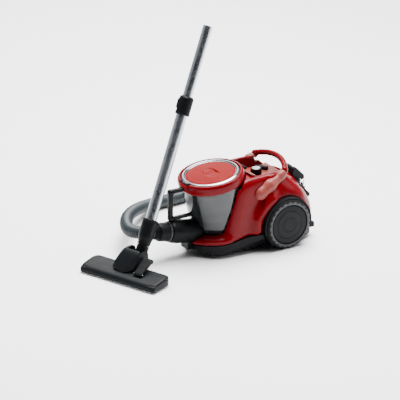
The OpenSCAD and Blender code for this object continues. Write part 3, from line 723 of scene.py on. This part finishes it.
def split_faces(obj, name, choose):
    """Moves the faces whose middles are chosen into a new object. Middles are in canister millimetres."""
    mesh = obj.data
    middles = np.zeros(len(mesh.polygons) * 3)
    mesh.polygons.foreach_get("center", middles)
    middles = middles.reshape(-1, 3)
    local = (middles - np.array(FLOOR_AXLE)) / MM
    chosen = choose([local[:, k] for k in range(3)])
    other = mesh_object(name, [], [])
    other.data = mesh.copy()
    for target, drop in ((obj, chosen), (other, ~chosen)):
        edit = bmesh.new()
        edit.from_mesh(target.data)
        edit.faces.ensure_lookup_table()
        bmesh.ops.delete(edit, geom=[f for f, d in zip(edit.faces, drop) if d], context="FACES")
        edit.to_mesh(target.data)
        edit.free()
    return other


def make_deck():
    top = [(-104, 250), (-84, 243), (-60, 222), (-36, 208), (0, 203), (30, 204), (48, 210)]
    strip = rounded(top + [(y, z - 3.5) for y, z in reversed(top)], [0, 14, 20, 20, 20, 14, 0] * 2)
    deck = side_prism(strip, -DECK_HALF + 0.2, DECK_HALF - 0.2, 1.2)
    deck = union(deck, drum((0, KNOB_Y, 200), (0, KNOB_Y, 208), 22, 0.8), soft=4)
    deck = cut(deck, in_bin(drum((0, 0, -37), (0, 0, 83), RIM_R + BIN_GAP)),
               in_release(block((-15.5, -6.7, -30), (15.5, 6.7, 30), 1)), rewind_sector(0.6, 180, 260),
               drum((0, KNOB_Y, 208), (0, KNOB_Y, 260), 19.5), drum((0, KNOB_Y, 150), (0, KNOB_Y, 260), 3.1), soft=1)
    piece = solid("deck_panel", deck, (-76, -106, 196), (76, 50, 252), 1.5, CANISTER)
    # The deck takes the pale red, the lighter copy of the red with a painted highlight.
    finish_piece(piece, "canister", "pale_red", ("top_deck",))


def rewind_sector(gap, low, high, edge=0.0):
    """An arc of the ring round the knob, with its ends cut along its radii. The gap grows it on every side."""
    start, end = math.radians(116), math.radians(150)

    def field(x, y, z):
        v = y - KNOB_Y
        ring = np.abs(np.sqrt(x * x + v * v) - REWIND_R) - REWIND_HALF
        ends = np.maximum(x * math.sin(start) - v * math.cos(start), v * math.cos(end) - x * math.sin(end))
        return soft_max(soft_max(ring, ends, edge), slab(z, low, high), edge) - gap
    return field


def make_controls():
    release = in_release(block((-15, -6.2, -5), (15, 6.2, 5), 1.6))
    dips = [in_release(drum((-20, y, 7.4), (20, y, 7.4), 3.0)) for y in (-3.4, 0, 3.4)]
    finish_piece(solid("release_key", cut(release, *dips, soft=0.8), (-16, -100, 232), (16, -72, 258), 0.7, CANISTER),
                 "release_button", "graphite_matte", ("release_button",))
    rewind = rewind_sector(0, 197, 214, 2.4)
    finish_piece(solid("rewind_key", rewind, (-72, -32, 196), (-20, 42, 215), 0.9, CANISTER),
                 "rewind_button", "graphite_matte", ("rewind_button",))
    turns = np.linspace(0, 2 * math.pi, KNOB_FLUTES, endpoint=False)
    flutes = [rod(*((r * math.cos(a), KNOB_Y + r * math.sin(a), z) for r, z in ((19.6, 214), (18.2, 233))), 2.4)
              for a in turns]
    knob = union(drum((0, KNOB_Y, 196), (0, KNOB_Y, 212), 3),
                 cut(drum((0, KNOB_Y, 209), (0, KNOB_Y, 232), 17.8, 2.2), *flutes, soft=0.8))
    finish_piece(solid("knob_grip", knob, (-19, -55, 195), (19, -17, 233), 0.8, CANISTER),
                 "power_knob", "black_gloss", ("power_knob",))
    cap = cut(drum((0, KNOB_Y, 230), (0, KNOB_Y, 233.4), 13.2, 1.1),
              rod((0, KNOB_Y + 6, 234), (0, KNOB_Y + 11, 234), 1.2), soft=0.4)
    finish_piece(solid("knob_cap", cap, (-14, -50, 229), (14, -22, 234), 0.6, CANISTER),
                 "power_knob", "bright_ring")


def make_handle():
    """The arch, which leans back about its feet, and the pads that run forward from them, whose paler red is a
    painted highlight.
    """
    radius = (HANDLE_HALF ** 2 + HANDLE_RISE ** 2) / (2 * HANDLE_RISE)
    spread = math.asin(HANDLE_HALF / radius)
    angles = np.linspace(-spread, spread, 19)
    spots = []
    for a in angles:
        rise = HANDLE_RISE - radius + radius * math.cos(a)
        spots.append((radius * math.sin(a), HANDLE_Y + rise * math.sin(HANDLE_LEAN),
                      HANDLE_FOOT_Z + rise * math.cos(HANDLE_LEAN)))
    bar = union(*(rod(a, b, HANDLE_BAR_R) for a, b in zip(spots, spots[1:])), soft=1.0)
    feet = mirrored(rod((HANDLE_HALF - 1, HANDLE_Y, HANDLE_FOOT_Z - 1), (HANDLE_HALF, HANDLE_Y, 238), 9.2, 10))
    handle = cut(union(bar, feet, soft=6), lambda x, y, z: z - 231, soft=0)
    finish_piece(solid("handle_arch", handle, (-98, 2, 228), (98, 52, 272), 1.6, CANISTER),
                 "canister", "red_gloss", ("carry_handle",))
    # The pads are the shell's red plastic, and their pale red is a painted highlight.
    pad = union(rod((86, 12, 238), (88, -4, 231), 10.5, 12), rod((88, 2, 228), (97, -50, 209), 13, 19),
                rod((97, -50, 209), (99, -84, 190), 19, 21), soft=12)
    pad = common(pad, opposite(grown(shell_outside(), -0.6)),
                 opposite(drum((HANDLE_HALF, HANDLE_Y, 220), (HANDLE_HALF, HANDLE_Y, 243), 10.4)), soft=1.0)
    finish_piece(solid("shoulder_pads", mirrored(pad), (-122, -108, 168), (122, 25, 250), 1.7, CANISTER),
                 "canister", "pale_red", ("handle_ends",))


def make_tail():
    slot = block((-7, 96, 150), (7, 140, 230), 1.5)
    bracket = cut(side_prism(rounded(PARK, 4), -26, 26, 3), slot, soft=2)
    ribs = [rod((x, 100, 216), (x, 126, 189), 1.6) for x in (-20, -14, 14, 20)]
    finish_piece(solid("park_hook_box", cut(bracket, *ribs, soft=0.8), (-27, 81, 164), (27, 131, 216), 1.0, CANISTER),
                 "canister", "black_matte", ("park_bracket",))
    x, y, foot = PLUG_X, PLUG_Y, PLUG_FOOT
    body = union(block((x - 16, y - 7, foot), (x + 16, y + 7, foot + 16), 4),
                 block((x - 13, y - 6, foot + 12), (x + 13, y + 6, foot + 26), 3), soft=3)
    grips = [rod((s * 16.6 + x, y - 9, foot + h), (s * 16.6 + x, y + 9, foot + h), 1.3)
             for s in (-1, 1) for h in (4, 8, 12)]
    collar = union(*(drum((x, y, foot - h - 2.6), (x, y, foot - h), 5.2 - 0.25 * h, 0.6) for h in (0, 4)))
    body = union(cut(body, *grips, soft=0.8), drum((x, y, foot - 80), (x, y, foot + 2), 3.5), soft=2)
    body = union(body, common(collar, drum((x, y, 0), (x, y, 300), 3.7)))
    finish_piece(solid("plug_moulding", body, (x - 17, y - 8, foot - 80), (x + 17, y + 8, foot + 27), 0.8, CANISTER),
                 "plug", "black_matte", ("plug_body",))


def hinge_bar(low, high, radius, edge=0.0):
    """A bar on the lid hinge's axis, in the bin's frame."""
    return drum((low, HINGE_Y, HINGE_Z), (high, HINGE_Y, HINGE_Z), radius, edge)


def make_bin_handle():
    loop = union(block((-8, -352, 123), (8, -262, 133), 3), block((-8, -358, 124), (8, -343, 220), 4.5),
                 block((-8, -356, 211), (8, -290, 224), 4.5), soft=9)
    loop = cut(loop, in_bin(bin_cup()), in_bin(drum((0, 0, -27.2), (0, 0, 53), RIM_R)), soft=0.6)
    hinge = in_bin(union(hinge_bar(-22, 22, 1.5), mirrored(hinge_bar(14, 22, 3, 0.6))))
    finish_piece(solid("bin_grip", union(loop, hinge), (-23, -359, 119), (23, -260, 242), 1.1, CANISTER),
                 "dust_bin", "black_gloss", ("bin_handle",))


def make_bin_rim():
    foot = BIN_TOP_R + 0.5
    rim = lathe(rounded([(foot, -27), (103, -24.5), (RIM_R, -18), (RIM_R, -2), (101, 5), (95, 6.5), (94, 5),
                         (94, -12), (90, -12), (90, -16), (93, -21.8), (foot, -21.8)],
                        [0.8, 2, 5, 5, 4, 1.5, 0.6, 1, 1, 1, 1, 0.6]))
    notch = block((-23, -101, 1), (23, -90, 12), 1)
    latch = block((-15, -107.5, -19), (15, -98, 1), 3)
    latch = cut(latch, drum((0, 0, -40), (0, 0, 20), 100.5), soft=1)
    rim = union(cut(rim, notch, soft=0.8), latch, soft=3)
    finish_piece(solid("rim_band", rim, (-107, -109, -28), (107, 107, 8), 1.6, BIN),
                 "dust_bin", "red_gloss", ("bin_rim",))


def make_lid():
    ring = lathe(rounded([(78.2, -4), (78.2, 4), (80, 6), (84, 7.5), (89, 6.5), (93, 3), (93, -11.5), (88, -11.5),
                          (88, -4)], [0.4, 1.2, 3, 4, 4, 2, 0.6, 0.6, 1]))
    groove = lathe([(79.6, 4.6), (83.2, 5.4), (83.2, 9), (79.6, 9)])
    gaps = mirrored(block((13.6, -101, 1.5), (23, -87, 12)))
    ring = union(cut(ring, groove, soft=0.8), hinge_bar(-13.5, 13.5, 3, 0.5))
    ring = cut(ring, hinge_bar(-30, 30, 1.6), gaps, soft=0.4)
    finish_piece(solid("lid_bezel", ring, (-94, -98, -12), (94, 94, 10), 1.5, BIN),
                 "bin_lid", "bright_ring", ("lid_ring",))
    band = lathe(rounded([(79.9, 4.7), (83, 5.5), (83, 6.3), (79.9, 5.6)], 0.3))
    finish_piece(solid("lid_dark_line", band, (-84, -84, 4), (84, 84, 7), 0.9, BIN), "bin_lid", "black_gloss")
    window = lathe(rounded([(0, 0), (77.8, 0), (77.8, 3.5), (70, 5), (0, 6.5)], [0, 0.6, 1.5, 14, 0]))
    oval = union(*(drum((s * 13, 0, 4.4), (s * 13, 0, 14), 20) for s in (-1, 0, 1)), soft=6)
    ring_line = lathe([(61, 5.0), (62.6, 5.0), (62.6, 12), (61, 12)])
    finish_piece(solid("lid_pane", cut(window, oval, ring_line, soft=1.6), (-79, -79, -1), (79, 79, 8), 1.3, BIN),
                 "bin_lid", "lid_tint", ("lid_window",))


# ---------------------------------------------------------------- floor nozzle and wand

# The right half of the nozzle's plan, which is mirrored.
NOZZLE_PLAN = rounded([(-20, 0), (138, 0), (144, 6), (144, 72), (137, 88), (120, 100), (-20, 100)],
                      [0, 5, 5, 18, 8, 12, 0])
SWIVEL_HALF = 24


def make_nozzle():
    outline = rounded([(0, 3), (0, 13), (9, 24), (24, 28), (60, 34), (88, 34), (100, 19), (100, 3)],
                      [2, 5, 7, 10, 14, 10, 6, 2])
    top = common(mirrored(lambda x, y, z: outline_distance(x, y, NOZZLE_PLAN)),
                 lambda x, y, z: outline_distance(y, z, outline), soft=7)
    end_line = mirrored(side_prism([(-5, 21), (60, 29), (110, 12), (110, 10.8), (60, 27.6), (-5, 19.6)], 120, 150))
    seam = common(grown(top, 0.5), opposite(grown(top, -0.7)), lambda x, y, z: np.abs(z - 9.5) - 0.6)
    tools = [block((-132, 12, 0), (132, 58, 21), 2), block((-130, 63, 0), (130, 71, 22)),
             mirrored(block((60, 78, 0), (80, 99, 19))), mirrored(block((34, 73, 0), (100, 77, 24))),
             block((PIVOT_ALONG - SWIVEL_HALF, 60, 24), (PIVOT_ALONG + SWIVEL_HALF, 120, 80)),
             block((PIVOT_ALONG - 20, 50, 10), (PIVOT_ALONG + 20, 62, 30)),
             block((43, 26, 27), (77, 46, 60), 1.5), seam]
    finish_piece(solid("nozzle_shell", cut(cut(top, *tools, soft=1.2), end_line, soft=1.5), (-145, -1, 2),
                       (145, 101, 36), 1.5, NOZZLE), "nozzle_head", "graphite_matte", ("nozzle_body",))
    hood_side = rounded([(24, 28.2), (60, 34.2), (114, 34.2), (116, 72), (108, 90), (90, 95), (72, 94), (56, 80),
                         (36, 48)], [2, 2, 4, 12, 14, 10, 14, 20, 16])
    hood_plan = rounded([(-4, 20), (10, 20), (43.5, 52), (43.5, 118), (-30, 118), (-48, 76), (-46, 36)],
                        [6, 6, 16, 8, 12, 22, 12])
    hood_front = rounded([(-52, 26), (44, 26), (43.5, 70), (40, 96), (-22, 96)], [2, 2, 10, 10, 12])
    hood = common(common(side_prism(hood_side, -60, 60), plan_prism(hood_plan, 0, 120), soft=10),
                  lambda x, y, z: outline_distance(x, z, hood_front), soft=10)
    crease = rod((-39, 76, 44), (-27, 82, 84), 1.1)
    hood = cut(hood, block((PIVOT_ALONG - SWIVEL_HALF, 73, 0), (PIVOT_ALONG + SWIVEL_HALF, 130, 120), 2),
               drum((-60, PIVOT_BACK, PIVOT_UP), (60, PIVOT_BACK, PIVOT_UP), 5), crease, soft=1.6)
    finish_piece(solid("neck_hood", hood, (-53, 18, 27), (46, 120, 98), 1.3, NOZZLE),
                 "nozzle_head", "graphite_matte", ("nozzle_hood",))
    pedal_side = rounded([(32, 31.5), (30, 35), (33, 39), (80, 70), (88, 70), (93, 62), (90, 54), (82, 55), (44, 35),
                          (39, 31.5)], [1, 2, 3, 6, 4, 4, 3, 6, 4, 1])
    grips = [rod((48, y, z), (72, y, z), 1.1) for y, z in ((62, 58.7), (67, 61.9), (72, 65.2), (77, 68.4))]
    pedal = cut(side_prism(pedal_side, 45, 75, 2.4), drum((40, 36, 35), (100, 36, 35), 2.05), *grips, soft=0.8)
    finish_piece(solid("foot_pedal", pedal, (44, 28, 30), (76, 95, 72), 1.0, NOZZLE),
                 "pedal", "graphite_matte", ("pedal",))


# The row of notches along the upper tube, in the wand's frame.
TUBE_TOP = 750
NOTCH_COUNT, NOTCH_PITCH, FIRST_NOTCH = 20, 17.5, 22
NOTCH_TURN = math.radians(217)
BOX_FACES = ((0, 1, 3, 2), (4, 6, 7, 5), (0, 4, 5, 1), (2, 3, 7, 6), (0, 2, 6, 4), (1, 5, 7, 3))


def make_notches():
    """Dark boxes in the row of notches along the upper tube: painted shade for the shaded insides of the notches."""
    turn = Matrix.Rotation(NOTCH_TURN, 4, "Z")
    vertices, faces = [], []
    for i in range(NOTCH_COUNT):
        z = TUBE_TOP - FIRST_NOTCH - i * NOTCH_PITCH
        start = len(vertices)
        for x, y, h in itertools.product((14.32, 14.85), (-3.7, 3.7), (0.4, 5.6)):
            vertices.append(turn @ Vector((x, y, z + h)) * MM)
        faces += [[start + k for k in face] for face in BOX_FACES]
    # These black boxes are painted shade inside the notches, not separate parts.
    strip = mesh_object("notch_painted_shade", vertices, faces, smooth=False)
    strip.data.transform(WAND_FRAME)
    finish_piece(strip, "wand_upper", "black_matte")


def make_neck():
    neck = lathe(rounded([(15, 52.5), (19.6, 52.5), (20.5, 66), (24.5, 78), (25, 131), (23, 134), (17.5, 134),
                          (17.5, 104), (15, 104)], [0.5, 1.5, 8, 8, 3, 1, 0.3, 0, 0]))
    flats = [block((s * 24.6 - 3, -9, 84), (s * 24.6 + 3, 9, 122), 2) for s in (-1, 1)]
    line = lathe([(24.3, 125), (27, 125), (27, 126.4), (24.3, 126.4)])
    neck = cut(neck, *flats, line, soft=1.4)
    finish_piece(solid("neck_sleeve", neck, (-26, -26, 52), (26, 26, 135), 1.3, WAND_FRAME),
                 "wand_lower", "black_matte", ("neck_tube",))


RING_R, RING_HALF, RING_NOTCHES, RING_NOTCH_HALF = 69.6, 4.2, 24, 3.4


def tyre_ring(side):
    """A flat ring on the wheel's outer face, with notches in its outer edge."""
    def field(x, y, z):
        v, w = y, z - WHEEL_Z
        r, turn = np.sqrt(v * v + w * w), np.arctan2(w, v)
        step = 2 * math.pi / RING_NOTCHES
        notch = np.abs((turn % step) - step / 2) * r - RING_NOTCH_HALF
        gap = soft_max(notch, 70.5 - r, 1)
        band = np.abs(r - RING_R) - RING_HALF
        return soft_max(soft_max(band, -gap, 0.6), slab(x * side, 138.5, 141), 0.6)
    return field


def make_wheel_rings():
    """The pale notched ring on each rear tyre's face."""
    for side, word in ((1, "right"), (-1, "left")):
        low, high = sorted((138 * side, 142 * side))
        finish_piece(solid(f"tyre_ring_{word}", tyre_ring(side), (low, -75, 6), (high, 75, 156), 1.0, CANISTER),
                     f"rear_wheel_{word}", "ring_grey")


make_wheel_rings()
make_shell()
make_deck()
make_controls()
make_handle()
make_tail()
make_bin_handle()
make_bin_rim()
make_lid()
make_nozzle()
make_notches()
make_neck()

# ---------------------------------------------------------------- stage and lights


FLOOR_HALF = 6.0
TOP_POWER, BACK_LEFT_POWER, BACK_RIGHT_POWER, FILL_POWER = 150, 26, 22, 1.2
SKY_STRENGTH, SKY_SPREAD = 9.0, math.radians(45)
SKY_TURN = (math.radians(-14), math.radians(-10), 0)
WORLD_STRENGTH = 0.45
DARK_SIDE = math.radians(64)


def make_stage():
    h = FLOOR_HALF
    corners = [(-h, -h, 0), (h, -h, 0), (h, h, 0), (-h, h, 0)]
    floor = mesh_object("studio_floor", corners, [(0, 1, 2, 3)], smooth=False)
    n = Nodes("studio_floor")
    cloud = n.spread(n.noise(0.7), 0, 1)
    n.link(n.blend(cloud, (0.93, 0.93, 0.935), (0.95, 0.95, 0.95)), n.shader.inputs["Base Color"])
    n.set(Roughness=0.55)
    floor.data.materials.append(n.material)


def add_light(name, data):
    light = bpy.data.objects.new(name, data)
    bpy.context.scene.collection.objects.link(light)
    return light


def area_light(name, place, target, size, power):
    data = bpy.data.lights.new(name, "AREA")
    data.shape = "RECTANGLE"
    data.size, data.size_y = size
    data.energy = power
    light = add_light(name, data)
    light.location = place
    light.rotation_euler = (Vector(place) - Vector(target)).to_track_quat("Z", "Y").to_euler()


def make_lights():
    middle = can(0, -200, 150)
    area_light("top_soft_box", (-0.4, 0.5, 2.4), middle, (2.6, 2.2), TOP_POWER)
    area_light("back_left_box", (-2.4, 1.2, 1.5), middle, (1.6, 1.6), BACK_LEFT_POWER)
    area_light("back_right_box", (1.6, 2.4, 1.3), middle, (1.6, 1.2), BACK_RIGHT_POWER)
    area_light("front_fill_box", (-1.6, -2.6, 1.4), middle, (1.6, 1.4), FILL_POWER)
    data = bpy.data.lights.new("sky_wash", "SUN")
    data.energy = SKY_STRENGTH
    data.angle = SKY_SPREAD
    add_light("sky_wash", data).rotation_euler = SKY_TURN


def make_world():
    """A pale surround with one dark side, which keeps the gloss on the near flank deep."""
    world = bpy.data.worlds.new("studio_world")
    world.use_nodes = True
    tree = world.node_tree
    background = tree.nodes["Background"]
    background.inputs["Strength"].default_value = WORLD_STRENGTH
    place = tree.nodes.new("ShaderNodeTexCoord")
    facing = tree.nodes.new("ShaderNodeVectorMath")
    facing.operation = "DOT_PRODUCT"
    facing.inputs[1].default_value = (math.sin(DARK_SIDE), -math.cos(DARK_SIDE), 0)
    ramp = tree.nodes.new("ShaderNodeValToRGB")
    for stop, at, colour in zip(ramp.color_ramp.elements, (0.1, 0.5), ((0.95, 0.97, 1.0, 1), (0.03, 0.03, 0.035, 1))):
        stop.position, stop.color = at, colour
    tree.links.new(place.outputs["Generated"], facing.inputs[0])
    tree.links.new(facing.outputs["Value"], ramp.inputs["Fac"])
    tree.links.new(ramp.outputs["Color"], background.inputs["Color"])
    bpy.context.scene.world = world


make_stage()
make_lights()
make_world()

bpy.context.view_layer.update()
